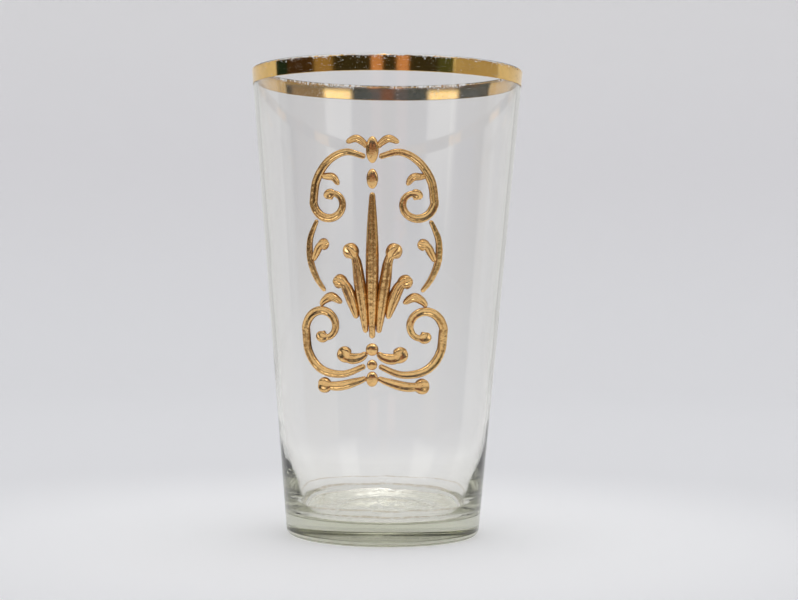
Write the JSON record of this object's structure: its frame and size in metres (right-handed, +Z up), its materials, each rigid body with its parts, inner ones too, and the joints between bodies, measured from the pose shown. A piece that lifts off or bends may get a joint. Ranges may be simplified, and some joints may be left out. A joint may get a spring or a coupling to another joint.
{
  "type": "drinking glass",
  "caption": "Small tapered shot glass with a thick base, a thin wall, a gilt band on the rim and a raised gilt scroll spray on the front.",
  "frame": {"origin": "centre of the standing ring under the base, on the plane that the glass stands on", "axes": "+Z up along the glass's axis, out of its mouth; the ornament faces -Y and is mirrored about the plane x = 0; +X is to the viewer's right"},
  "size_m": [0.0528, 0.0528, 0.0898],
  "materials": {
    "clear_glass": "clear, nearly colourless old soda-lime glass with a faint grey-green tint in the thick base",
    "rim_gilding": "thin bright burnished gold band with a worn upper edge",
    "raised_gilding": "fired gold over raised paste, bright on the ridges and dull brown in the grooves"
  },
  "bodies": {
    "root": {"glass_body": "clear_glass", "rim_gilding": "rim_gilding", "centre_leaf": "raised_gilding", "inner_leaf_left": "raised_gilding", "inner_leaf_right": "raised_gilding", "outer_leaf_left": "raised_gilding", "outer_leaf_right": "raised_gilding", "upper_scroll_left": "raised_gilding", "upper_scroll_right": "raised_gilding", "scroll_leaf_left": "raised_gilding", "scroll_leaf_right": "raised_gilding", "top_leaf_left": "raised_gilding", "top_leaf_right": "raised_gilding", "side_stem_left": "raised_gilding", "side_stem_right": "raised_gilding", "side_leaf_left": "raised_gilding", "side_leaf_right": "raised_gilding", "lower_scroll_left": "raised_gilding", "lower_scroll_right": "raised_gilding", "lower_tip_left": "raised_gilding", "lower_tip_right": "raised_gilding", "upper_fork_left": "raised_gilding", "upper_fork_right": "raised_gilding", "lower_fork_left": "raised_gilding", "lower_fork_right": "raised_gilding", "top_collar": "raised_gilding", "leaf_bud": "raised_gilding", "stem_bead": "raised_gilding", "middle_bead": "raised_gilding", "bottom_bead": "raised_gilding"}
  },
  "joints": []
}
